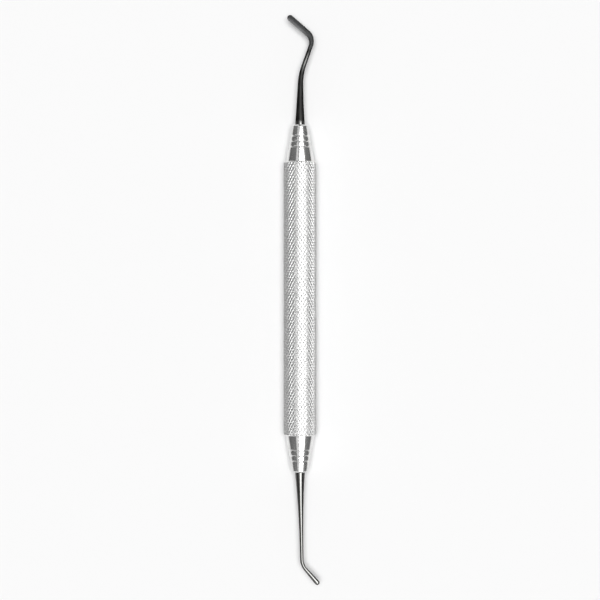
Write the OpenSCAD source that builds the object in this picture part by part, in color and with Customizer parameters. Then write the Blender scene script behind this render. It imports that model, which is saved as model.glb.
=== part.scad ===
// Double-ended dental hand scaler with a hollow knurled barrel and two screw-in working ends.
// The long axis lies along Y, the bends of both ends lie in the XY plane, and +Z is up.
// The origin is on the barrel's axis, halfway along it.

/* [Barrel] */
// Diameter over the crests of the knurl
barrel_d = 9.5; // [9:0.1:10]
// Length of the knurled barrel
barrel_len = 80; // [70:1:95]
// Bore that runs through the barrel
barrel_bore = 7; // [6.8:0.1:7.2]
// Chamfer at each end of the barrel
barrel_chamfer = 0.4; // [0.2:0.05:0.6]

/* [Cones] */
// Length of each cone outside the barrel
cone_len = 10.7; // [10:0.1:13]
// Diameter of each cone where it meets the barrel
cone_base_d = 8.2; // [7.8:0.1:8.8]
// Diameter of each cone at its nose
cone_nose_d = 4.6; // [4.2:0.1:5]
// Number of grip grooves round each cone
groove_count = 3; // [1:1:3]
// Distance from the barrel to the first groove
groove_first = 4.3; // [3.6:0.1:4.6]
// Distance from one groove to the next
groove_pitch = 1.6; // [1.3:0.1:1.9]
// Width of a groove at the surface
groove_w = 0.55; // [0.3:0.05:0.7]
// Depth of a groove
groove_depth = 0.2; // [0.15:0.01:0.4]

/* [Screw joint] */
// Major diameter of the thread
thread_d = 5; // [4.8:0.1:5.2]
// Length of thread on each spigot
thread_len = 4.8; // [4:0.1:6]
// Radial running gap of the thread and of the pilot
screw_gap = 0.05; // [0.02:0.01:0.08]
// Length of the plain pilot that carries the seal
pilot_len = 2.2; // [2:0.1:2.6]
// Thickness of the seal ring's cord
seal_cord = 0.8; // [0.7:0.05:0.85]

/* [Shanks] */
// Diameter of each shank where it leaves its cone
shank_d = 2.85; // [2.6:0.05:3]
// Diameter of the plain tang inside the cone
tang_d = 2.4; // [2.2:0.1:2.5]
// Distance that the tang reaches below the cone's base
tang_reach = 4; // [2:0.5:5]

/* [Upper end] */
// Thinnest diameter of the upper shank
upper_neck_d = 1.18; // [1.1:0.01:1.5]
// Straight stretch from the cone to the first bend
upper_straight = 12.1; // [9:0.1:14]
// Gentle bend away from the axis
upper_lean = 18; // [10:0.5:25]
// Sharp bend back over the axis
upper_hook = 68.5; // [50:0.5:75]
// Straight stretch of the blade, up to its nose
upper_blade_len = 6.7; // [5:0.1:8]
// Width of the bare blade near its nose
upper_blade_w = 1.64; // [1.4:0.02:2]
// Thickness of the bare blade near its nose
upper_blade_t = 1.1; // [0.9:0.05:1.4]
// Thickness of the bonded diamond coat
coat_t = 0.05; // [0.04:0.01:0.1]

/* [Lower end] */
// Thinnest diameter of the lower shank
lower_neck_d = 1; // [0.9:0.01:1.4]
// Straight stretch from the cone to the bend
lower_straight = 25; // [20:0.1:28]
// Slight lean of the lower shank from the cone on
lower_lean = 1.2; // [0:0.1:3]
// Bend between the lower shank and its blade
lower_hook = 40; // [30:0.5:50]
// Straight stretch of the blade, up to its nose
lower_blade_len = 5; // [4:0.1:7]
// Width of the blade near its nose
lower_blade_w = 1.4; // [1.1:0.02:1.6]
// Thickness of the blade near its nose
lower_blade_t = 1.2; // [0.8:0.05:1.4]

/* [Hidden] */
$fn = 96;

// Thread and spigot: distances inwards from the barrel's end face.
thread_core_d = 4;
relief_len = 0.6;
thread_start = pilot_len + relief_len;
spigot_len = thread_start + thread_len;
thread_chamfer = 0.4;
insert_face = pilot_len + 0.3;
insert_len = thread_len + 1.8;
insert_chamfer = 0.45;
glue_groove_w = 0.8;
glue_groove_depth = 0.15;
insert_end_land = 1;

// Seal ring and the groove that it sits in.
pilot_d = barrel_bore - 2 * screw_gap;
seal_touch = 0.02;
seal_mid_r = barrel_bore / 2 - seal_touch - seal_cord / 2;
seal_groove_d = 2 * (seal_mid_r - seal_cord / 2 - seal_touch);
seal_groove_w = seal_cord + 0.3;
seal_at = pilot_len / 2;

// Bottom of a grip groove, cone nose and the seat of the shank.
groove_flat = 0.1;
nose_chamfer = 0.35;
seat_depth = 1.2;
cut_slack = 1;

// Shape of the swept shanks.
ring_sides = 20;
upper_sway = 1.5;
upper_lean_r = 18;
upper_hook_r = 3.4;
upper_neck_len = 5.9;
upper_taper = 27;
upper_taper_power = 2.5;
lower_lean_r = 20;
lower_hook_r = 4.9;
lower_taper = 26;
lower_taper_power = 2.33;
coat_back = 1.2;
nose_rings = 6;

// ---- Paths from the bottom of the seat: rows of [length, turn], where a turn towards +X is positive ----

function arc_row(radius, turn) = [radius * abs(turn) * PI / 180, turn];

upper_path = [
    [seat_depth, 0],
    [upper_straight, upper_sway],
    arc_row(upper_lean_r, upper_lean),
    [upper_neck_len, 0],
    arc_row(upper_hook_r, -upper_hook),
    [upper_blade_len, 0],
];
lower_path = [
    [seat_depth, 0],
    arc_row(lower_lean_r, lower_lean),
    [lower_straight, 0],
    arc_row(lower_hook_r, lower_hook),
    [lower_blade_len, 0],
];

function length_of(path, rows) = rows == 0 ? 0 : path[rows - 1][0] + length_of(path, rows - 1);

// The move made by a stretch that starts at a heading and turns evenly along its length.
function stretch(length, turn, heading) =
    let (half = turn / 2)
    let (chord = turn == 0 ? length : length * sin(half) / (half * PI / 180))
    chord * [sin(heading + half), cos(heading + half)];

// [[across, along], heading] at a distance s along a path.
function place(path, s, row = 0, at = [0, 0], heading = 0) =
    let (length = path[row][0], turn = path[row][1])
    s <= length || row == len(path) - 1
        ? [at + stretch(s, turn * s / length, heading), heading + turn * s / length]
        : place(path, s - length, row + 1, at + stretch(length, turn, heading), heading + turn);

// ---- Section sizes along a shank ----

function smooth(x) = let (t = max(0, min(1, x))) t * t * (3 - 2 * t);
function blend(a, b, x) = a + (b - a) * smooth(x);
function neck(s, thin, taper, power) =
    thin + (shank_d - thin) * pow(max(0, min(1, 1 - (s - seat_depth) / taper)), power);

// Where the straights and the bends of each path begin and end.
upper_marks = [for (rows = [0 : len(upper_path)]) length_of(upper_path, rows)];
lower_marks = [for (rows = [0 : len(lower_path)]) length_of(lower_path, rows)];
upper_bend_at = upper_marks[4];
upper_blade_at = upper_marks[5];
upper_end = upper_marks[6];
lower_bend_at = lower_marks[3];
lower_blade_at = lower_marks[4];
lower_end = lower_marks[5];
lower_mid_bend = (lower_bend_at + lower_blade_at) / 2;

// [width, thickness] of the section at a distance s.
function upper_section(s) =
    let (d = neck(s, upper_neck_d, upper_taper, upper_taper_power))
    let (x = (s - upper_bend_at) / (upper_blade_at - upper_bend_at))
    [blend(d, upper_blade_w, x), blend(d, upper_blade_t, x)];
function lower_section(s) =
    let (d = neck(s, lower_neck_d, lower_taper, lower_taper_power))
    let (x = (s - lower_mid_bend) / (lower_end - lower_mid_bend))
    [blend(d, lower_blade_w, x), blend(d, lower_blade_t, x)];

// ---- Sweep: stations of [s, share of the full section, distance past the end] ----

function spread(from, to, steps) = [for (i = [0 : steps - 1]) from + (to - from) * i / steps];
function body_stations(marks) = [for (s = marks) [s, 1, 0]];
function nose_stations(end, r) = [
    for (i = [0 : nose_rings - 1])
        let (a = 90 * i / nose_rings)
        [end, cos(a), r * sin(a)]
];

function ring(path, station, size, grow) =
    let (p = place(path, station[0]), h = p[1])
    let (mid = p[0] + station[2] * [sin(h), cos(h)])
    let (w = (size[0] / 2 + grow) * station[1], t = (size[1] / 2 + grow) * station[1])
    [
        for (k = [0 : ring_sides - 1])
            let (a = 360 * k / ring_sides)
            [mid[0] + w * cos(a) * cos(h), t * sin(a), mid[1] - w * cos(a) * sin(h)]
    ];
function pole(path, end, r) =
    let (p = place(path, end), h = p[1], mid = p[0] + r * [sin(h), cos(h)])
    [mid[0], 0, mid[1]];

function joined(lists) = [for (list = lists) for (item = list) item];

// Side triangles between ring i and the next one. Outward is away from the path unless inward is set.
function band(i, inward) = joined([
    for (k = [0 : ring_sides - 1])
        let (n = (k + 1) % ring_sides, a = i * ring_sides, b = a + ring_sides)
        inward
            ? [[a + k, a + n, b + n], [a + k, b + n, b + k]]
            : [[a + k, b + n, a + n], [a + k, b + k, b + n]]
]);
function cap(ring_at, tip, inward) = [
    for (k = [0 : ring_sides - 1])
        let (n = (k + 1) % ring_sides, a = ring_at * ring_sides)
        inward ? [a + k, a + n, tip] : [a + k, tip, a + n]
];

module swept(rings, tip) {
    count = len(rings);
    points = concat(joined(rings), [tip]);
    sides = joined([for (i = [0 : count - 2]) band(i, false)]);
    start = [[for (k = [0 : ring_sides - 1]) k]];
    polyhedron(points, concat(start, sides, cap(count - 1, count * ring_sides, false)));
}

// A thin cup: an outer skin and an inner skin that share an open rim.
module swept_cup(outer, outer_tip, inner, inner_tip) {
    count = len(outer);
    total = 2 * count * ring_sides;
    points = concat(joined(outer), joined(inner), [outer_tip, inner_tip]);
    outer_faces = joined([for (i = [0 : count - 2]) band(i, false)]);
    inner_faces = joined([for (i = [0 : count - 2]) band(count + i, true)]);
    rim = joined([
        for (k = [0 : ring_sides - 1])
            let (n = (k + 1) % ring_sides, b = count * ring_sides)
            [[k, n, b + n], [k, b + n, b + k]]
    ]);
    polyhedron(points, concat(
        outer_faces,
        inner_faces,
        rim,
        cap(count - 1, total, false),
        cap(2 * count - 1, total + 1, true)
    ));
}

// ---- Stations of the two shanks ----

coat_from = upper_bend_at - coat_back;
upper_shank_stations = body_stations(concat(
    spread(0, upper_marks[1], 1),
    spread(upper_marks[1], upper_marks[2], 8),
    spread(upper_marks[2], upper_marks[3], 6),
    spread(upper_marks[3], coat_from, 3)
));
coat_stations = concat(
    body_stations(concat(
        spread(coat_from, upper_bend_at, 2),
        spread(upper_bend_at, upper_blade_at, 10),
        spread(upper_blade_at, upper_end, 3)
    )),
    nose_stations(upper_end, upper_blade_w / 2)
);
lower_stations = concat(
    body_stations(concat(
        spread(0, lower_marks[1], 1),
        spread(lower_marks[1], lower_marks[2], 1),
        spread(lower_marks[2], lower_bend_at, 14),
        spread(lower_bend_at, lower_blade_at, 8),
        spread(lower_blade_at, lower_end, 4)
    )),
    nose_stations(lower_end, lower_blade_w / 2)
);

// ---- Sub-parts, each drawn with its axis on Z and the barrel's end face at zero ----

module washer(r_out, r_in, from, to) {
    translate([0, 0, from]) difference() {
        cylinder(r = r_out, h = to - from);
        translate([0, 0, -cut_slack]) cylinder(r = r_in, h = to - from + 2 * cut_slack);
    }
}

module barrel() {
    r = barrel_d / 2;
    half = barrel_len / 2;
    color("silver") rotate([-90, 0, 0]) rotate_extrude() polygon([
        [barrel_bore / 2, -half],
        [r - barrel_chamfer, -half],
        [r, -half + barrel_chamfer],
        [r, half - barrel_chamfer],
        [r - barrel_chamfer, half],
        [barrel_bore / 2, half],
    ]);
}

// Threaded bush pressed into the barrel, with two grooves for the adhesive.
module insert() {
    r = barrel_bore / 2;
    back = -insert_face - insert_len;
    middle = -insert_face - insert_len / 2;
    color("slategray") difference() {
        washer(r, thread_d / 2, back, -insert_face);
        for (side = [-1, 1]) translate([0, 0, middle + side * (insert_len / 2 - insert_end_land)])
            washer(r + cut_slack, r - glue_groove_depth, -glue_groove_w / 2, glue_groove_w / 2);
        translate([0, 0, -insert_face - insert_chamfer])
            cylinder(r1 = thread_d / 2, r2 = thread_d / 2 + insert_chamfer, h = insert_chamfer);
    }
}

function cone_r(t) = (cone_base_d + (cone_nose_d - cone_base_d) * t / cone_len) / 2;
function groove_points(t) = [
    [cone_r(t - groove_w / 2), t - groove_w / 2],
    [cone_r(t) - groove_depth, t - groove_flat / 2],
    [cone_r(t) - groove_depth, t + groove_flat / 2],
    [cone_r(t + groove_w / 2), t + groove_w / 2],
];

// Cone with its grip grooves, the pilot that carries the seal, and the threaded spigot.
module cone() {
    male_r = thread_d / 2 - screw_gap;
    seat_r = shank_d / 2;
    color("gainsboro") rotate_extrude() polygon(concat(
        [
            [tang_d / 2, -tang_reach],
            [tang_d / 2, cone_len - seat_depth],
            [seat_r, cone_len - seat_depth],
            [seat_r, cone_len],
            [cone_nose_d / 2 - nose_chamfer, cone_len],
            [cone_r(cone_len - nose_chamfer), cone_len - nose_chamfer],
        ],
        joined([for (i = [groove_count - 1 : -1 : 0])
            let (p = groove_points(groove_first + i * groove_pitch)) [p[3], p[2], p[1], p[0]]]),
        [
            [cone_base_d / 2, 0],
            [pilot_d / 2, 0],
            [pilot_d / 2, -seal_at + seal_groove_w / 2],
            [seal_groove_d / 2, -seal_at + seal_groove_w / 2],
            [seal_groove_d / 2, -seal_at - seal_groove_w / 2],
            [pilot_d / 2, -seal_at - seal_groove_w / 2],
            [pilot_d / 2, -pilot_len],
            [thread_core_d / 2, -pilot_len],
            [thread_core_d / 2, -thread_start],
            [male_r, -thread_start],
            [male_r, -spigot_len + thread_chamfer],
            [male_r - thread_chamfer, -spigot_len],
            [0, -spigot_len],
            [0, -tang_reach],
        ]
    ));
}

module seal_ring() {
    color("dimgray") translate([0, 0, -seal_at])
        rotate_extrude() translate([seal_mid_r, 0]) circle(r = seal_cord / 2);
}

// Plain tang below a shank. It runs a little way up inside the shank, so that the two are one solid.
module tang() {
    translate([0, 0, -tang_reach]) cylinder(r = tang_d / 2, h = tang_reach + cone_len - seat_depth / 2);
}

module upper_tip() {
    stations = concat(upper_shank_stations, coat_stations);
    color("darkslategray") {
        tang();
        translate([0, 0, cone_len - seat_depth]) swept(
            [for (st = stations) ring(upper_path, st, upper_section(st[0]), 0)],
            pole(upper_path, upper_end, upper_blade_w / 2)
        );
    }
}

module diamond_coat() {
    inner = [for (st = coat_stations) ring(upper_path, st, upper_section(st[0]), 0)];
    inner_tip = pole(upper_path, upper_end, upper_blade_w / 2);
    stretch_out = (upper_blade_w / 2 + coat_t) / (upper_blade_w / 2);
    outer_stations = [for (st = coat_stations) [st[0], st[1], st[2] * stretch_out]];
    outer = [for (st = outer_stations) ring(upper_path, st, upper_section(st[0]), coat_t)];
    outer_tip = pole(upper_path, upper_end, upper_blade_w / 2 + coat_t);
    color("darkgray") translate([0, 0, cone_len - seat_depth])
        swept_cup(outer, outer_tip, inner, inner_tip);
}

module lower_tip() {
    color("lightslategray") {
        tang();
        translate([0, 0, cone_len - seat_depth]) swept(
            [for (st = lower_stations) ring(lower_path, st, lower_section(st[0]), 0)],
            pole(lower_path, lower_end, lower_blade_w / 2)
        );
    }
}

// ---- Places at the two ends of the barrel ----

module at_upper_end() {
    translate([0, barrel_len / 2, 0]) rotate([-90, 0, 0]) children();
}

module at_lower_end() {
    translate([0, -barrel_len / 2, 0]) rotate([90, 0, 0]) children();
}

barrel();
at_upper_end() insert();  // upper_insert
at_lower_end() insert();  // lower_insert
at_upper_end() cone();  // upper_cone
at_lower_end() cone();  // lower_cone
at_upper_end() seal_ring();  // upper_seal_ring
at_lower_end() seal_ring();  // lower_seal_ring
at_upper_end() upper_tip();
at_upper_end() diamond_coat();  // upper_diamond_coat
at_lower_end() lower_tip();
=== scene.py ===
import math

import bmesh
import bpy
from mathutils import Matrix, Vector, noise


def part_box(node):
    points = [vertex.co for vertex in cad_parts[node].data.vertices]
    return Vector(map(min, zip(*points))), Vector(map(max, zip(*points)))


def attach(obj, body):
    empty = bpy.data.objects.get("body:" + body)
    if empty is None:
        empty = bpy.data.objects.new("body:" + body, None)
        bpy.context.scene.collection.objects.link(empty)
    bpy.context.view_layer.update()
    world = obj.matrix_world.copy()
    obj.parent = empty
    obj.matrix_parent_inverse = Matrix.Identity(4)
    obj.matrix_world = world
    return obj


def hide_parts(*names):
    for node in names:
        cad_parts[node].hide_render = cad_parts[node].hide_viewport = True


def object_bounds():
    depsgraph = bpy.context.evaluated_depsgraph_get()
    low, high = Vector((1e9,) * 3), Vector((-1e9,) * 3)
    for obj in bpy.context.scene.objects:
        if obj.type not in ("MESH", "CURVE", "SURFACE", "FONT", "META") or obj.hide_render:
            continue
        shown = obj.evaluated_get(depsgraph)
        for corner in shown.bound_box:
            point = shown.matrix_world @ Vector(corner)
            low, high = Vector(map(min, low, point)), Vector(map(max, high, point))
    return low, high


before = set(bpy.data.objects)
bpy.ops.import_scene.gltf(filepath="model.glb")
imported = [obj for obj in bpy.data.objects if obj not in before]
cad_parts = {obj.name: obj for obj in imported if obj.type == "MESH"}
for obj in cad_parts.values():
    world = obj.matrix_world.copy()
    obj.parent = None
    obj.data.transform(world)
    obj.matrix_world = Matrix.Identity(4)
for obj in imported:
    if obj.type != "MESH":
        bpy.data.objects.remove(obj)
CAD_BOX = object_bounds()

# Lengths of the pieces are in millimetres, like the part's own source. They are scaled to metres as they
# are placed. Lengths in the materials, the studio and the camera are in metres.
MM = 0.001
TURN = 2 * math.pi

# Barrel and its diamond knurl
BARREL_R = 4.75
BARREL_HALF = 40
BORE_R = 3.5
BARREL_CHAMFER = 0.4
BORE_BREAK = 0.15
KNURL_STARTS = 32
KNURL_LEAN = math.radians(30)
KNURL_DEPTH = 0.16
# Lines across one diamond, from groove to groove, with the depth at each as a share of KNURL_DEPTH.
KNURL_LINES = ((0.0, 1.0), (0.05, 0.92), (0.22, 0.06), (0.5, 0.0), (0.78, 0.06), (0.95, 0.92))
CREST_LINE = 2  # the line where the crest starts; the next one is its middle
KNURL_UNEVEN = 0.02
KNURL_SET_IN = 0.014  # keeps the uneven crests inside the CAD's cylinder
CHAMFER_CUTS = 5
BORE_SHOWN = 3  # how far in from each end the bore's straight wall has a ring of points

# Cones
CONE_LEN = 10.7
CONE_BASE_R = 4.1
CONE_NOSE_R = 2.3
GROOVES = (4.3, 5.9, 7.5)
GROOVE_W = 0.55
GROOVE_DEPTH = 0.2
NOSE_CHAMFER = 0.35
SEAT_R = 1.425
SEAT_DEPTH = 1.2
TANG_R = 1.2
TANG_REACH = 4
FIT_GAP = 0.01
LATHE_SIDES = 144

# Screw joint, at distances inwards from the barrel's end face
PILOT_R = 3.45
PILOT_LEN = 2.2
SEAL_AT = 1.1
SEAL_GROOVE_R = 2.66
SEAL_GROOVE_W = 1.1
SEAL_MID_R = 3.08
SEAL_CORD_R = 0.4
SEAL_SQUEEZE = 0.86  # power of its section's outline; below 1 it is flattened
SEAL_FLASH = 0.012
SEAL_SIDES = 28
RELIEF_R = 1.95
THREAD_FROM = 2.8
THREAD_TO = 7.6
THREAD_PITCH = 0.8
# Lines of one turn of thread, as (share of the pitch, radius)
MALE_LINES = ((0.0, 1.96), (0.125, 1.96), (0.2, 2.05), (0.4, 2.4), (0.4375, 2.45), (0.5625, 2.45),
              (0.6, 2.4), (0.8, 2.05), (0.875, 1.96))
FEMALE_LINES = ((0.0, 2.07), (0.158, 2.07), (0.432, 2.5), (0.568, 2.5), (0.842, 2.07))
INSERT_FROM = 2.5
INSERT_TO = 9.1
INSERT_R = 3.49
BUSH_MOUTH_R = 2.95
BUSH_BACK_R = 2.7
GLUE_GROOVE_W = 0.8
GLUE_GROOVE_DEPTH = 0.15
GLUE_GROOVE_LAND = 1

# Shanks: rows of (length, turn in degrees towards +X) from the bottom of the seat
ROOT_R = 1.425
UPPER_PATH = ((1.2, 0.0), (12.1, 1.5), (18 * math.radians(18), 18.0), (5.9, 0.0),
              (3.4 * math.radians(68.5), -68.5), (6.7, 0.0))
LOWER_PATH = ((1.2, 0.0), (20 * math.radians(1.2), 1.2), (25.0, 0.0), (4.9 * math.radians(40), 40.0),
              (5.0, 0.0))
UPPER_BEND = 4
LOWER_BEND = 3
# Thinnest diameter, the length that it is reached in, and the power of the curve to it
UPPER_NECK = (1.18, 27, 2.5)
LOWER_NECK = (1.0, 26, 2.33)
# Width and thickness
UPPER_BLADE = (1.64, 1.1)
LOWER_BLADE = (1.4, 1.2)
ROUND = 2.0  # power of a section's outline; above 2 it grows square
UPPER_SQUARE = 2.35
TIP_SIDES = 64
TIP_STEP = 0.16
NOSE_RINGS = 12

# Grit coat
COAT_BACK = 1.2  # how far back from the blade's bend it starts
COAT_SIDES = 120
COAT_STEP = 0.055
COAT_NOSE_RINGS = 18
COAT_INNER = -0.03  # its inner skin lies this far inside the steel
COAT_OUTER = -0.004  # the grit's height is measured from here
COAT_NOSE_STRETCH = 1.03
GRIT_FLOOR = 0.028
GRIT_HEIGHT = 0.075

# Share of the light that the shanks' steel gives back at a grazing angle
EDGE_TINT = (0.25, 0.25, 0.25, 1)

# Brightness of the studio's walls, as the camera sees them and as metal mirrors them
SKY_SEEN = 0.93
SKY_IN_METAL = 0.18

# Camera: looks straight down at the instrument as it lies, which fills this share of the picture's height
FILL = 0.95
LENS = 120
SENSOR = 36


# ---- Meshes ----

def circle(bm, r, t, sides=LATHE_SIDES):
    angles = [TURN * k / sides for k in range(sides)]
    return [bm.verts.new((r * math.cos(a), r * math.sin(a), t)) for a in angles]


def skin(bm, a, b):
    """Quads between two rings with the same number of points."""
    for k in range(len(a)):
        n = (k + 1) % len(a)
        bm.faces.new((a[k], a[n], b[n], b[k]))


def skin_to_point(bm, ring, pole):
    for k in range(len(ring)):
        bm.faces.new((ring[k], ring[(k + 1) % len(ring)], pole))


def cap(bm, ring, tip):
    skin_to_point(bm, ring, bm.verts.new(tip))


def angle_of(vert):
    return math.atan2(vert.co.y, vert.co.x) % TURN


def angle_along(ring, k):
    """The angle of a sorted ring's point k, counted on past a full turn."""
    return angle_of(ring[k]) if k < len(ring) else TURN + (k - len(ring)) * TURN + angle_of(ring[0])


def zip_rings(bm, a, b):
    """Triangles between two rings about the Z axis that have different numbers of points."""
    a, b = sorted(a, key=angle_of), sorted(b, key=angle_of)
    i = j = 0
    while i < len(a) or j < len(b):
        p, q = a[i % len(a)], b[j % len(b)]
        if angle_along(a, i + 1) <= angle_along(b, j + 1):
            bm.faces.new((p, a[(i + 1) % len(a)], q))
            i += 1
        else:
            bm.faces.new((p, b[(j + 1) % len(b)], q))
            j += 1


def fillet(points, sides=4):
    """(r, t) points of a profile, from rows of (r, t, corner radius), with each corner rounded."""
    out = []
    for k, (r, t, radius) in enumerate(points):
        here = Vector((r, t))
        if radius == 0 or k in (0, len(points) - 1):
            out.append(here)
            continue
        to_last = Vector(points[k - 1][:2]) - here
        to_next = Vector(points[k + 1][:2]) - here
        half = to_last.angle(to_next) / 2
        back = min(radius / math.tan(half), to_last.length / 2.2, to_next.length / 2.2)
        start, end = here + to_last.normalized() * back, here + to_next.normalized() * back
        for s in range(sides + 1):
            x = s / sides
            out.append((1 - x) ** 2 * start + 2 * x * (1 - x) * here + x * x * end)
    return out


def lathe(bm, points, sides=LATHE_SIDES):
    """Rings turned from (r, t) points. Returns the first ring and the last one."""
    rings = [circle(bm, r, t, sides) for r, t in points]
    for a, b in zip(rings, rings[1:]):
        skin(bm, a, b)
    return rings[0], rings[-1]


def cut_at(bm, t, keep=0, reach=None):
    """Cuts the mesh by the plane at height t.

    keep=1 drops what is above the plane, and -1 what is below it. reach leaves out the faces that lie
    further from the plane, which saves time.
    """
    faces = bm.faces if reach is None else [f for f in bm.faces if abs(f.verts[0].co.z - t) < reach]
    edges = {e for f in faces for e in f.edges}
    verts = {v for f in faces for v in f.verts}
    bmesh.ops.bisect_plane(
        bm, geom=[*verts, *edges, *faces], dist=1e-6, plane_co=(0, 0, t), plane_no=(0, 0, keep or 1),
        clear_outer=keep != 0)


def rim(bm, t):
    return [v for v in bm.verts if abs(v.co.z - t) < 1e-5]


def set_radius(vert, r):
    flat = Vector((vert.co.x, vert.co.y, 0)).normalized() * r
    vert.co = (flat.x, flat.y, vert.co.z)


def thread_skin(bm, lines, pitch, top, bottom, limit, columns=72):
    """A right-handed helical thread between two heights. limit(t, r) trims the radius near the ends."""
    per_turn = len(lines)
    first = math.floor(bottom / pitch - 2) * per_turn
    last = math.ceil(top / pitch + 1) * per_turn
    made = {}

    def vert(column, row):
        wraps, column = divmod(column, columns)
        row += wraps * per_turn
        if (column, row) not in made:
            turns, line = divmod(row, per_turn)
            share, r = lines[line]
            a = TURN * column / columns
            t = pitch * (turns + share + column / columns)
            made[column, row] = bm.verts.new((r * math.cos(a), r * math.sin(a), t))
        return made[column, row]

    for column in range(columns):
        for row in range(first, last):
            corners = ((column, row), (column + 1, row), (column + 1, row + 1), (column, row + 1))
            bm.faces.new([vert(*corner) for corner in corners])
    cut_at(bm, top, 1)
    cut_at(bm, bottom, -1)
    for v in bm.verts:
        set_radius(v, limit(v.co.z, math.hypot(v.co.x, v.co.y)))


def smooth(x):
    x = max(0.0, min(1.0, x))
    return x * x * (3 - 2 * x)


# ---- Places ----

def at_end(side):
    """From an end's own frame, with its axis on Z and the barrel's end face at zero, to the row frame."""
    low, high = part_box("barrel")
    y = high.y if side > 0 else low.y
    turned = Matrix.Rotation(-side * math.pi / 2, 4, "X") @ Matrix.Scale(MM, 4)
    return Matrix.Translation((0, y, 0)) @ turned


def along_barrel():
    return Matrix.Rotation(-math.pi / 2, 4, "X") @ Matrix.Scale(MM, 4)


def piece(name, bm, place, node, body, slot, *materials, sharp=34):
    """Turns a finished mesh into the piece that stands for a CAD node.

    Edges that bend by more than sharp degrees stay sharp.
    """
    bmesh.ops.transform(bm, matrix=place, verts=bm.verts)
    bmesh.ops.recalc_face_normals(bm, faces=bm.faces)
    mesh = bpy.data.meshes.new(name)
    bm.to_mesh(mesh)
    bm.free()
    mesh.shade_smooth()
    mesh.set_sharp_from_angle(angle=math.radians(sharp))
    for material in materials:
        mesh.materials.append(material)
    made = bpy.data.objects.new(name, mesh)
    bpy.context.collection.objects.link(made)
    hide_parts(node)
    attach(made, body)


# ---- Barrel ----

def knurl_skin(bm):
    """Pyramids between two crossing sets of helical grooves, over the whole barrel."""
    per_cell = len(KNURL_LINES)
    around = KNURL_STARTS * per_cell
    half_pitch = TURN * BARREL_R / KNURL_STARTS / math.tan(KNURL_LEAN) / 2
    reach = math.ceil((BARREL_HALF + 1) / half_pitch) * per_cell
    made = {}

    def line(index):
        cell, k = divmod(index, per_cell)
        share, depth = KNURL_LINES[k]
        return cell + share, depth

    def vert(i, j):
        wraps, i = divmod(i, around)
        j -= wraps * around
        if (i, j) not in made:
            (u, deep_u), (v, deep_v) = line(i), line(j)
            a = math.pi * (u + v) / KNURL_STARTS
            t = half_pitch * (u - v)
            uneven = KNURL_UNEVEN * noise.noise((t * 0.9, 4 * math.cos(a), 4 * math.sin(a)))
            r = BARREL_R - KNURL_DEPTH * max(deep_u, deep_v) - KNURL_SET_IN + uneven
            made[i, j] = bm.verts.new((r * math.cos(a), r * math.sin(a), t))
        return made[i, j]

    for i in range(around):
        for j in range(i - reach, i + reach):
            m, n = i % per_cell, j % per_cell
            if CREST_LINE + 1 in (m, n):
                continue
            far_i, far_j = i + 1 + (m == CREST_LINE), j + 1 + (n == CREST_LINE)
            a, b, c, d = vert(i, j), vert(far_i, j), vert(far_i, far_j), vert(i, far_j)
            if m == n == CREST_LINE:
                skin_to_point(bm, (a, b, c, d), vert(i + 1, j + 1))
            elif m == n:
                bm.faces.new((a, b, c))
                bm.faces.new((a, c, d))
            elif m + n == per_cell - 1:
                bm.faces.new((a, b, d))
                bm.faces.new((b, c, d))
            else:
                bm.faces.new((a, b, c, d))
    for side in (-1, 1):
        for step in range(1, CHAMFER_CUTS + 1):
            cut_at(bm, side * (BARREL_HALF - BARREL_CHAMFER * step / CHAMFER_CUTS), reach=3)
        cut_at(bm, side * BARREL_HALF, side)
    for v in bm.verts:
        edge = BARREL_R - BARREL_CHAMFER + BARREL_HALF - abs(v.co.z)
        set_radius(v, min(math.hypot(v.co.x, v.co.y), edge))


def make_barrel(knurled, turned):
    bm = bmesh.new()
    knurl_skin(bm)
    knurl = {f for f in bm.faces if abs(f.calc_center_median().z) < BARREL_HALF - BARREL_CHAMFER}
    ends = [rim(bm, side * BARREL_HALF) for side in (-1, 1)]
    bore = []
    for side in (-1, 1):
        bore += fillet([
            (BORE_R + 0.5, side * BARREL_HALF, 0),
            (BORE_R + BORE_BREAK, side * BARREL_HALF, 0.04),
            (BORE_R, side * (BARREL_HALF - BORE_BREAK), 0.04),
            (BORE_R, side * (BARREL_HALF - BORE_SHOWN), 0),
        ])[::-side]
    first, last = lathe(bm, bore)
    zip_rings(bm, ends[0], first)
    zip_rings(bm, ends[1], last)
    for f in bm.faces:
        f.material_index = 0 if f in knurl else 1
    piece("knurled_barrel", bm, along_barrel(), "barrel", "handle", "barrel", knurled, turned, sharp=24)


# ---- Cones, inserts and seal rings ----

def cone_r(t):
    return CONE_BASE_R + (CONE_NOSE_R - CONE_BASE_R) * t / CONE_LEN


def groove_corners(t):
    half = GROOVE_W / 2
    return [
        (cone_r(t - half), t - half, 0.05),
        (cone_r(t) - GROOVE_DEPTH, t, 0.06),
        (cone_r(t + half), t + half, 0.05),
    ]


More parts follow.
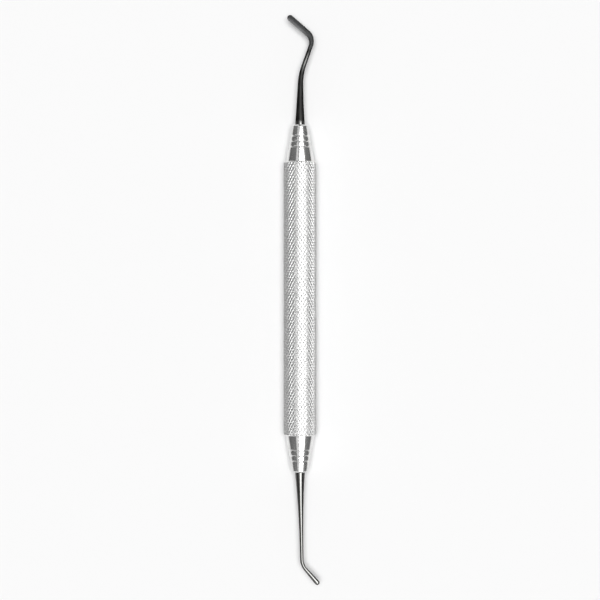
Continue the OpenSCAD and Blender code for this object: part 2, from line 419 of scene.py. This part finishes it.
def cone_outline():
    """From the relief behind the pilot, out over the cone, to the bottom of the shank's seat."""
    low, high = -SEAL_AT - SEAL_GROOVE_W / 2, -SEAL_AT + SEAL_GROOVE_W / 2
    seat = SEAT_R + FIT_GAP
    return fillet([
        (RELIEF_R, -PILOT_LEN, 0),
        (PILOT_R, -PILOT_LEN, 0.12),
        (PILOT_R, low, 0.05),
        (SEAL_GROOVE_R, low, 0.12),
        (SEAL_GROOVE_R, high, 0.12),
        (PILOT_R, high, 0.05),
        (PILOT_R, 0, 0.03),
        (CONE_BASE_R, 0, 0.1),
        *[corner for t in GROOVES for corner in groove_corners(t)],
        (cone_r(CONE_LEN - NOSE_CHAMFER), CONE_LEN - NOSE_CHAMFER, 0.12),
        (CONE_NOSE_R - NOSE_CHAMFER, CONE_LEN, 0.1),
        (seat + 0.07, CONE_LEN, 0.03),
        (seat, CONE_LEN - 0.07, 0.03),
        (seat, CONE_LEN - SEAT_DEPTH, 0.05),
        (TANG_R + FIT_GAP, CONE_LEN - SEAT_DEPTH, 0),
        (TANG_R + FIT_GAP, -TANG_REACH, 0),
    ])


def make_cone(name, side, node, body, material):
    bm = bmesh.new()

    def limit(t, r):
        return min(r, RELIEF_R + min(-THREAD_FROM - t, t + THREAD_TO))

    thread_skin(bm, MALE_LINES, THREAD_PITCH, -THREAD_FROM, -THREAD_TO, limit)
    neck, point = rim(bm, -THREAD_FROM), rim(bm, -THREAD_TO)
    point.sort(key=angle_of)
    cap(bm, point, (0, 0, -THREAD_TO))
    first, last = lathe(bm, [Vector((RELIEF_R, -THREAD_FROM + 0.04)), *cone_outline()])
    zip_rings(bm, neck, first)
    cap(bm, last, (0, 0, -TANG_REACH))
    piece(name, bm, at_end(side), node, body, "cone", material)


def make_insert(name, side, node, material):
    bm = bmesh.new()

    def limit(t, r):
        return max(r, BUSH_MOUTH_R + INSERT_FROM + t, BUSH_BACK_R - INSERT_TO - t)

    thread_skin(bm, FEMALE_LINES, THREAD_PITCH, -INSERT_FROM, -INSERT_TO, limit)
    mouth, back = rim(bm, -INSERT_FROM), rim(bm, -INSERT_TO)
    floor_r = INSERT_R - GLUE_GROOVE_DEPTH
    outline = [(BUSH_MOUTH_R + 0.15, -INSERT_FROM, 0), (INSERT_R, -INSERT_FROM, 0.1)]
    for t in (-INSERT_FROM - GLUE_GROOVE_LAND, -INSERT_TO + GLUE_GROOVE_LAND):
        high, low = t + GLUE_GROOVE_W / 2, t - GLUE_GROOVE_W / 2
        outline += [(INSERT_R, high, 0.03), (floor_r, high, 0.05), (floor_r, low, 0.05)]
        outline += [(INSERT_R, low, 0.03)]
    outline += [(INSERT_R, -INSERT_TO, 0.1), (BUSH_BACK_R + 0.2, -INSERT_TO, 0)]
    first, last = lathe(bm, fillet(outline))
    zip_rings(bm, mouth, first)
    zip_rings(bm, back, last)
    piece(name, bm, at_end(side), node, "handle", "insert", material)


def make_seal(name, side, node, body, material):
    """A silicone ring, a little flattened where it is squeezed, with the thin flash line of its mould."""
    bm = bmesh.new()
    points = []
    for k in range(SEAL_SIDES):
        a = TURN * k / SEAL_SIDES
        flash = SEAL_FLASH if k in (SEAL_SIDES // 4, 3 * SEAL_SIDES // 4) else 0
        across = abs(math.cos(a)) ** SEAL_SQUEEZE * math.copysign(1, math.cos(a))
        r = SEAL_MID_R + SEAL_CORD_R * across
        points.append((r, -SEAL_AT + (SEAL_CORD_R + flash) * math.sin(a)))
    first, last = lathe(bm, points)
    skin(bm, last, first)
    piece(name, bm, at_end(side), node, body, "seal", material, sharp=60)


# ---- Shanks, blades and the grit coat ----

def stretch(length, turn, heading):
    """The move made by a stretch that starts at a heading and turns evenly along its length."""
    half = turn / 2
    chord = length if turn == 0 else length * math.sin(half) / half
    return Vector((math.sin(heading + half), math.cos(heading + half))) * chord


def place_on(path, s):
    """((across, along), heading) at a distance s along a path."""
    at, heading = Vector((0.0, 0.0)), 0.0
    for row, (length, degrees) in enumerate(path):
        turn = math.radians(degrees)
        if s <= length or row == len(path) - 1:
            share = s / length
            return at + stretch(s, turn * share, heading), heading + turn * share
        at, heading, s = at + stretch(length, turn, heading), heading + turn, s - length


def marks_of(path):
    return [sum(length for length, _ in path[:k]) for k in range(len(path) + 1)]


def neck_d(s, thin, taper, power):
    """Diameter of a shank's tapered stretch at a distance s."""
    share = max(0.0, min(1.0, 1 - (s - SEAT_DEPTH) / taper))
    return thin + (2 * ROOT_R - thin) * share ** power


def mix(a, b, x):
    return a + (b - a) * smooth(x)


UPPER_MARKS = marks_of(UPPER_PATH)
LOWER_MARKS = marks_of(LOWER_PATH)


def upper_section(s):
    """Width and thickness of the upper shank, and how square its section is, at a distance s."""
    d = neck_d(s, *UPPER_NECK)
    width, thick = UPPER_BLADE
    x = (s - UPPER_MARKS[UPPER_BEND]) / (UPPER_MARKS[UPPER_BEND + 1] - UPPER_MARKS[UPPER_BEND])
    return mix(d, width, x), mix(d, thick, x), mix(ROUND, UPPER_SQUARE, x)


def lower_section(s):
    d = neck_d(s, *LOWER_NECK)
    width, thick = LOWER_BLADE
    middle = (LOWER_MARKS[LOWER_BEND] + LOWER_MARKS[LOWER_BEND + 1]) / 2
    x = (s - middle) / (LOWER_MARKS[-1] - middle)
    return mix(d, width, x), mix(d, thick, x), ROUND


def tip_ring(bm, path, section, s, sides, share=1.0, past=0.0, grow=0.0, bump=None):
    """One ring of a shank at distance s.

    share shrinks it for the nose, past moves it beyond the path's end, grow widens it all round, and
    bump(distance, spot) widens it from point to point.
    """
    at, heading = place_on(path, s)
    width, thick, square = section(s)
    ahead = Vector((math.sin(heading), math.cos(heading)))
    aside = Vector((math.cos(heading), -math.sin(heading)))
    middle = at + ahead * past
    ring = []
    for k in range(sides):
        a = TURN * k / sides
        c, n = math.cos(a), math.sin(a)
        across = math.copysign(abs(c) ** (2 / square), c)
        up = math.copysign(abs(n) ** (2 / square), n)
        extra = grow
        if bump:
            extra += bump(s + past, Vector((across * width, up * thick, s + past)))
        w, h = (width / 2 + extra) * share * across, (thick / 2 + extra) * share * up
        flat = middle + aside * w
        ring.append(bm.verts.new((flat.x, h, flat.y)))
    return ring


def stations(first, last, step):
    count = max(1, round((last - first) / step))
    return [first + (last - first) * k / count for k in range(count + 1)]


def nose_rows(r, count):
    """(share of the full section, distance past the end) over a round nose."""
    angles = [math.pi / 2 * k / count for k in range(1, count)]
    return [(math.cos(a), r * math.sin(a)) for a in angles]


def make_tip(name, side, path, section, node, body, slot, material):
    """Tang, shank and blade in one closed skin."""
    bm = bmesh.new()
    end = marks_of(path)[-1]
    seat = CONE_LEN - SEAT_DEPTH
    rings = [circle(bm, r, t - seat, TIP_SIDES) for r, t in (
        (TANG_R - 0.15, -TANG_REACH), (TANG_R - 0.04, -TANG_REACH + 0.04), (TANG_R, -TANG_REACH + 0.15),
        (TANG_R, seat), (ROOT_R - 0.03, seat), (ROOT_R, seat + 0.03))]
    start = rings[0]
    rings += [tip_ring(bm, path, section, s, TIP_SIDES) for s in stations(0.1, end, TIP_STEP)]
    nose = section(end)[0] / 2
    for share, past in nose_rows(nose, NOSE_RINGS):
        rings.append(tip_ring(bm, path, section, end, TIP_SIDES, share, past))
    for a, b in zip(rings, rings[1:]):
        skin(bm, a, b)
    cap(bm, start, (0, 0, -TANG_REACH - seat))
    at, heading = place_on(path, end)
    point = at + Vector((math.sin(heading), math.cos(heading))) * nose
    cap(bm, rings[-1], (point.x, 0, point.y))
    place = at_end(side) @ Matrix.Translation((0, 0, seat))
    piece(name, bm, place, node, body, slot, material)


def grit(s, spot):
    """Height of the grit: grains of two sizes that stand close together and thin out at the coat's edge.

    s is the distance along the path, and spot is the point to read the noise at.
    """
    start = UPPER_MARKS[UPPER_BEND] - COAT_BACK
    ragged = 0.35 * noise.noise((spot.x * 2.2, spot.y * 2.2, spot.z * 2.2))
    edge = smooth((s - start + ragged) / 0.7)
    coarse = noise.voronoi(spot * 6.5)[0][0]
    fine = noise.voronoi(spot * 13 + Vector((7, 3, 1)))[0][0]
    grain = max(0.0, 1 - coarse * 1.5) * 0.6 + max(0.0, 1 - fine * 1.5) * 0.4
    return edge * (GRIT_FLOOR + GRIT_HEIGHT * grain)


def make_coat(material):
    bm = bmesh.new()
    start, end = UPPER_MARKS[UPPER_BEND] - COAT_BACK, UPPER_MARKS[-1]
    rows = [(s, 1.0, 0.0) for s in stations(start, end, COAT_STEP)]
    nose = upper_section(end)[0] / 2
    rows += [(end, share, past) for share, past in nose_rows(nose, COAT_NOSE_RINGS)]

    def ring(row, stretched, grow, bump=None):
        s, share, past = row
        return tip_ring(bm, UPPER_PATH, upper_section, s, COAT_SIDES, share, past * stretched, grow, bump)

    outer = [ring(row, COAT_NOSE_STRETCH, COAT_OUTER, grit) for row in rows]
    inner = [ring(row, 1, COAT_INNER) for row in rows[::6]]
    for rings in (outer, inner):
        for a, b in zip(rings, rings[1:]):
            skin(bm, a, b)
    skin(bm, outer[0], inner[0])
    at, heading = place_on(UPPER_PATH, end)
    ahead = Vector((math.sin(heading), math.cos(heading)))
    for rings, reach in ((outer, nose * COAT_NOSE_STRETCH + 0.05), (inner, nose + COAT_INNER)):
        point = at + ahead * reach
        cap(bm, rings[-1], (point.x, 0, point.y))
    place = at_end(1) @ Matrix.Translation((0, 0, CONE_LEN - SEAT_DEPTH))
    piece("grit_coat", bm, place, "upper_diamond_coat", "upper_end", "diamond_coat", material, sharp=70)


# ---- Materials, in metres ----

class Nodes:
    """Short calls for building one material's node tree."""

    def __init__(self, name):
        self.material = bpy.data.materials.new(name)
        self.material.use_nodes = True
        self.tree = self.material.node_tree
        self.shader = self.tree.nodes["Principled BSDF"]
        self.coords = self.add("ShaderNodeTexCoord").outputs["Object"]

    def add(self, kind, **values):
        node = self.tree.nodes.new(kind)
        for key, value in values.items():
            setattr(node, key, value)
        return node

    def link(self, a, b):
        self.tree.links.new(a, b)

    def feed(self, socket, value):
        if isinstance(value, (int, float)):
            socket.default_value = value
        else:
            self.link(value, socket)

    def math(self, operation, a, b=0.0, clamp=False):
        node = self.add("ShaderNodeMath", operation=operation, use_clamp=clamp)
        self.feed(node.inputs[0], a)
        self.feed(node.inputs[1], b)
        return node.outputs[0]

    def axes(self):
        node = self.add("ShaderNodeSeparateXYZ")
        self.link(self.coords, node.inputs[0])
        return node.outputs

    def radius(self):
        """Distance from the instrument's axis."""
        x, _, z = self.axes()
        total = self.math("ADD", self.math("MULTIPLY", x, x), self.math("MULTIPLY", z, z))
        return self.math("SQRT", total)

    def blade_axes(self):
        """Distances across and along the upper blade, from its middle line where its bend ends."""
        at, heading = place_on(UPPER_PATH, UPPER_MARKS[UPPER_BEND + 1])
        start = at_end(1) @ Vector((at.x, 0, at.y + CONE_LEN - SEAT_DEPTH))
        x, y, _ = self.axes()
        x, y = self.math("SUBTRACT", x, start.x), self.math("SUBTRACT", y, start.y)
        sine, cosine = math.sin(heading), math.cos(heading)
        across = self.math("SUBTRACT", self.math("MULTIPLY", x, cosine), self.math("MULTIPLY", y, sine))
        ahead = self.math("ADD", self.math("MULTIPLY", x, sine), self.math("MULTIPLY", y, cosine))
        return across, ahead

    def noise(self, scale, detail=3.0, stretch=(1, 1, 1), kind="3D"):
        node = self.add("ShaderNodeTexNoise", noise_dimensions=kind)
        node.inputs["Scale"].default_value = scale
        node.inputs["Detail"].default_value = detail
        if kind == "1D":
            self.link(self.axes()[1], node.inputs["W"])
        else:
            shape = self.add("ShaderNodeMapping")
            shape.inputs["Scale"].default_value = stretch
            self.link(self.coords, shape.inputs["Vector"])
            self.link(shape.outputs[0], node.inputs["Vector"])
        return node.outputs["Fac"]

    def ramp(self, value, low, high, out_low, out_high):
        node = self.add("ShaderNodeMapRange")
        self.link(value, node.inputs["Value"])
        numbers = {"From Min": low, "From Max": high, "To Min": out_low, "To Max": out_high}
        for key, number in numbers.items():
            node.inputs[key].default_value = number
        return node.outputs["Result"]

    def blend(self, factor, a, b):
        """Colour a where the factor is 0 and b where it is 1."""
        node = self.add("ShaderNodeMix", data_type="RGBA")
        self.feed(node.inputs["Factor"], factor)
        for key, colour in (("A", a), ("B", b)):
            if isinstance(colour, tuple):
                node.inputs[key].default_value = (*colour, 1)
            else:
                self.link(colour, node.inputs[key])
        return node.outputs["Result"]

    def bump(self, height, distance, strength=1.0):
        node = self.add("ShaderNodeBump")
        node.inputs["Distance"].default_value = distance
        node.inputs["Strength"].default_value = strength
        self.link(height, node.inputs["Height"])
        self.link(node.outputs[0], self.shader.inputs["Normal"])

    def set(self, **values):
        for key, value in values.items():
            self.feed(self.shader.inputs[key.replace("_", " ")], value)

    def grain_across(self, amount):
        """Tool marks that run round the axis: highlights stretch along it."""
        tangent = self.add("ShaderNodeTangent", direction_type="RADIAL", axis="Y")
        self.link(tangent.outputs[0], self.shader.inputs["Tangent"])
        self.set(Anisotropic=amount, Anisotropic_Rotation=0.25)


def turned_aluminium():
    """Satin lathe-turned aluminium: fine tool marks round the axis, faint handling smears."""
    n = Nodes("turned_aluminium")
    marks = n.noise(22000, 2.0, kind="1D")
    smears = n.noise(420, 4.0)
    colour = n.blend(n.ramp(smears, 0.35, 0.7, 0, 1), (0.8, 0.8, 0.79), (0.7, 0.7, 0.695))
    rough = n.math("ADD", n.ramp(smears, 0.3, 0.7, 0.18, 0.26), n.ramp(marks, 0.3, 0.7, -0.03, 0.03))
    n.set(Base_Color=colour, Metallic=1.0, Roughness=rough)
    n.grain_across(0.55)
    n.bump(marks, 0.000004, 0.6)
    return n.material


def knurled_aluminium():
    """Bright aluminium, burnished on the knurl's crests and duller down in its grooves, where the colour
    is also darker: partly residue, partly painted shade.
    """
    n = Nodes("knurled_aluminium")
    # The grooves' darker colour is partly residue and partly painted shade in the hollows.
    height = n.ramp(n.radius(), 0.00458, 0.0047, 0, 1)
    speckle = n.noise(2600, 3.0)
    colour = n.blend(n.math("MULTIPLY", height, n.ramp(speckle, 0.2, 0.6, 0.75, 1), True),
                     (0.42, 0.42, 0.418), (0.7, 0.7, 0.696))
    rough = n.math("ADD", n.ramp(height, 0, 1, 0.46, 0.38), n.ramp(speckle, 0.3, 0.7, -0.04, 0.05))
    n.set(Base_Color=colour, Metallic=1.0, Roughness=rough)
    n.bump(speckle, 0.00001, 0.5)
    return n.material


def turned_steel():
    """Plain turned stainless steel of the threaded bushes."""
    n = Nodes("turned_steel")
    marks = n.noise(9000, 2.0, kind="1D")
    stain = n.noise(700, 4.0)
    n.set(Base_Color=n.blend(stain, (0.6, 0.59, 0.58), (0.45, 0.45, 0.46)), Metallic=1.0,
          Roughness=n.ramp(marks, 0.3, 0.7, 0.22, 0.38))
    n.grain_across(0.6)
    n.bump(marks, 0.000008, 0.7)
    return n.material


def silicone():
    n = Nodes("seal_silicone")
    dust = n.noise(3500, 5.0)
    n.set(Base_Color=n.blend(n.ramp(dust, 0.45, 0.8, 0, 1), (0.018, 0.018, 0.02), (0.06, 0.06, 0.062)),
          Roughness=n.ramp(dust, 0.3, 0.7, 0.42, 0.6))
    n.bump(dust, 0.000012, 0.5)
    return n.material


def dark_steel():
    """Dark semi-gloss drawn steel with draw lines along it, brighter by the cone and on the neck."""
    n = Nodes("dark_drawn_steel")
    lines = n.noise(5200, 4.0, stretch=(1, 0.05, 1))
    patches = n.noise(380, 4.0)
    nose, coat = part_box("upper_cone")[1].y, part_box("upper_diamond_coat")[0].y
    along = n.math("ADD", n.axes()[1], n.math("MULTIPLY", lines, 0.0008))
    root = n.ramp(along, nose + 0.0007, nose + 0.0019, 1, 0)
    neck = n.math("MULTIPLY", n.ramp(along, coat - 0.0065, coat - 0.0035, 0, 0.5),
                  n.ramp(along, coat - 0.0022, coat, 1, 0))
    worn = n.math("ADD", root, neck)
    streaks = n.math("ADD", n.ramp(lines, 0.42, 0.66, 0, 0.8), n.ramp(patches, 0.35, 0.7, 0, 0.3))
    dark = n.blend(streaks, (0.016, 0.016, 0.016), (0.045, 0.045, 0.043))
    rough = n.math("ADD", n.ramp(patches, 0.3, 0.7, 0.46, 0.58), n.ramp(lines, 0.3, 0.7, -0.06, 0.06))
    n.set(Base_Color=n.blend(worn, dark, (0.17, 0.17, 0.166)), Metallic=1.0,
          Roughness=n.math("SUBTRACT", rough, n.math("MULTIPLY", worn, 0.4)))
    n.shader.inputs["Specular Tint"].default_value = EDGE_TINT
    n.bump(lines, 0.000012, 0.7)
    return n.material


def polished_steel():
    """Dark mirror-polished steel with the faint hairlines that polishing leaves."""
    n = Nodes("polished_dark_steel")
    hairs = n.noise(6500, 3.0, stretch=(1, 0.03, 1))
    haze = n.noise(300, 4.0)
    colour = n.blend(n.ramp(haze, 0.35, 0.7, 0, 1), (0.15, 0.15, 0.145), (0.18, 0.18, 0.175))
    rough = n.math("ADD", n.ramp(haze, 0.3, 0.7, 0.07, 0.12), n.ramp(hairs, 0.35, 0.75, 0.0, 0.05))
    n.set(Base_Color=colour, Metallic=1.0, Roughness=rough)
    n.shader.inputs["Specular Tint"].default_value = EDGE_TINT
    n.bump(hairs, 0.0000025, 0.4)
    return n.material


def bonded_grit():
    """Matte nickel-bonded grit whose single grains catch the light, with painted side light that makes
    the blade's inner side paler.
    """
    n = Nodes("bonded_grit")
    cells = n.add("ShaderNodeTexVoronoi", feature="F1")
    cells.inputs["Scale"].default_value = 9000
    n.link(n.coords, cells.inputs["Vector"])
    grain = n.add("ShaderNodeSeparateColor")
    n.link(cells.outputs["Color"], grain.inputs[0])
    patches = n.noise(900, 4.0)
    shade = n.math("ADD", n.math("MULTIPLY", grain.outputs[0], 0.55), n.math("MULTIPLY", patches, 0.6))
    shade = n.ramp(shade, 0.25, 1.0, 0, 1)
    across, ahead = n.blade_axes()
    # Painted side light: on the straight part of the blade the inner side is painted paler, fading across
    # to the outer side as if lit from there; over the bend there is only a faint even lift.
    inner = n.math("POWER", n.ramp(across, -0.0009, 0.0001, 1, 0), 2)
    straight = n.ramp(ahead, -0.0015, 0.0015, 0, 1)
    painted_side_light = n.math("ADD", n.math("MULTIPLY", inner, straight), n.ramp(straight, 0, 1, 0.03, 0))
    colour = n.blend(painted_side_light, n.blend(shade, (0.006, 0.0063, 0.0066), (0.04, 0.041, 0.042)),
                     n.blend(shade, (0.15, 0.153, 0.156), (0.45, 0.454, 0.458)))
    n.set(Base_Color=colour, Metallic=0.4, Roughness=n.ramp(grain.outputs[1], 0, 1, 0.45, 0.8))
    n.bump(cells.outputs["Distance"], 0.00002, 0.8)
    return n.material


def pale_ground():
    """Pale matte paper. Metal mirrors it as black card away from the instrument, for dark outlines."""
    n = Nodes("pale_ground")
    mirrored = n.add("ShaderNodeLightPath").outputs["Is Glossy Ray"]
    away = n.ramp(n.math("ABSOLUTE", n.axes()[0]), 0.018, 0.03, 0, 1)
    colour = n.blend(n.math("MULTIPLY", mirrored, away), (0.87, 0.87, 0.87), (0.1, 0.1, 0.1))
    n.set(Base_Color=colour, Roughness=0.9, Specular_IOR_Level=0.1)
    return n.material


# ---- Studio, in metres ----

def make_floor():
    """The ground, just under the barrel."""
    low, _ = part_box("barrel")
    mesh = bpy.data.meshes.new("ground")
    half = 6.0
    corners = [(-half, -half, 0), (half, -half, 0), (half, half, 0), (-half, half, 0)]
    mesh.from_pydata(corners, [], [(0, 1, 2, 3)])
    mesh.materials.append(pale_ground())
    made = bpy.data.objects.new("ground", mesh)
    made.location.z = low.z
    bpy.context.collection.objects.link(made)


def make_world():
    """Pale to look at, dim in reflections, so that the strips draw the highlights."""
    world = bpy.data.worlds.new("studio")
    bpy.context.scene.world = world
    world.use_nodes = True
    tree = world.node_tree
    back = tree.nodes["Background"]
    back.inputs["Color"].default_value = (1, 1, 1, 1)
    path = tree.nodes.new("ShaderNodeLightPath")
    level = tree.nodes.new("ShaderNodeMapRange")
    level.inputs["To Min"].default_value = SKY_IN_METAL
    level.inputs["To Max"].default_value = SKY_SEEN
    tree.links.new(path.outputs["Is Camera Ray"], level.inputs["Value"])
    tree.links.new(level.outputs["Result"], back.inputs["Strength"])


def strip(name, at, size, radiance):
    """A rectangular softbox that faces the instrument. It shows only in reflections."""
    light = bpy.data.lights.new(name, "AREA")
    light.shape = "RECTANGLE"
    light.size, light.size_y = size
    light.energy = radiance * size[0] * size[1] * math.pi
    made = bpy.data.objects.new(name, light)
    made.location = at
    back = Vector(at).normalized()
    along = (Vector((0, 1, 0)) - back * back.y).normalized()
    made.rotation_euler = Matrix((along.cross(back), along, back)).transposed().to_euler()
    made.visible_camera = False
    made.visible_diffuse = False
    bpy.context.collection.objects.link(made)


def overhead_sun(radiance, angle):
    """Even soft light from straight above for the ground. Metal doesn't mirror it."""
    light = bpy.data.lights.new("overhead", "SUN")
    light.energy = radiance
    light.angle = math.radians(angle)
    made = bpy.data.objects.new("overhead", light)
    made.location = (0, 0, 1)
    made.visible_glossy = False
    bpy.context.collection.objects.link(made)


def make_lights():
    """One overhead light for the ground, and softboxes that draw the metal's stripes."""
    overhead_sun(2.9, 34)
    strip("main_strip", (0.17, -0.1, 0.6), (0.47, 0.9), 6)
    strip("thin_strip", (-0.27, 0, 0.6), (0.18, 1.8), 0.7)
    strip("far_end_box", (0, 0.7, 0.3), (1.8, 0.5), 0.15)
    strip("near_end_box", (0, -0.7, 0.3), (1.8, 0.5), 0.6)
    strip("fill_strip", (0.5, 0, 0.6), (0.22, 1.8), 0.2)


def make_camera():
    low, high = CAD_BOX
    centre = (low.y + high.y) / 2
    reach = (high.y - low.y) / 2 / FILL
    data = bpy.data.cameras.new("camera")
    data.lens, data.sensor_width = LENS, SENSOR
    data.clip_start, data.clip_end = 0.01, 50
    made = bpy.data.objects.new("camera", data)
    made.location = (0, centre, reach * 2 * LENS / SENSOR)
    bpy.context.collection.objects.link(made)
    bpy.context.scene.camera = made
    bpy.context.scene.view_settings.view_transform = "Standard"


make_camera()
make_world()
make_lights()
make_floor()

ALUMINIUM = turned_aluminium()
STEEL = turned_steel()
RUBBER = silicone()
make_barrel(knurled_aluminium(), ALUMINIUM)
make_cone("upper_turned_cone", 1, "upper_cone", "upper_end", ALUMINIUM)
make_cone("lower_turned_cone", -1, "lower_cone", "lower_end", ALUMINIUM)
make_insert("upper_threaded_bush", 1, "upper_insert", STEEL)
make_insert("lower_threaded_bush", -1, "lower_insert", STEEL)
make_seal("upper_silicone_ring", 1, "upper_seal_ring", "upper_seal", RUBBER)
make_seal("lower_silicone_ring", -1, "lower_seal_ring", "lower_seal", RUBBER)
make_tip("upper_shank", 1, UPPER_PATH, upper_section, "upper_tip", "upper_end", "dark_steel",
         dark_steel())
make_tip("lower_shank", -1, LOWER_PATH, lower_section, "lower_tip", "lower_end", "polished_steel",
         polished_steel())
make_coat(bonded_grit())

bpy.context.view_layer.update()
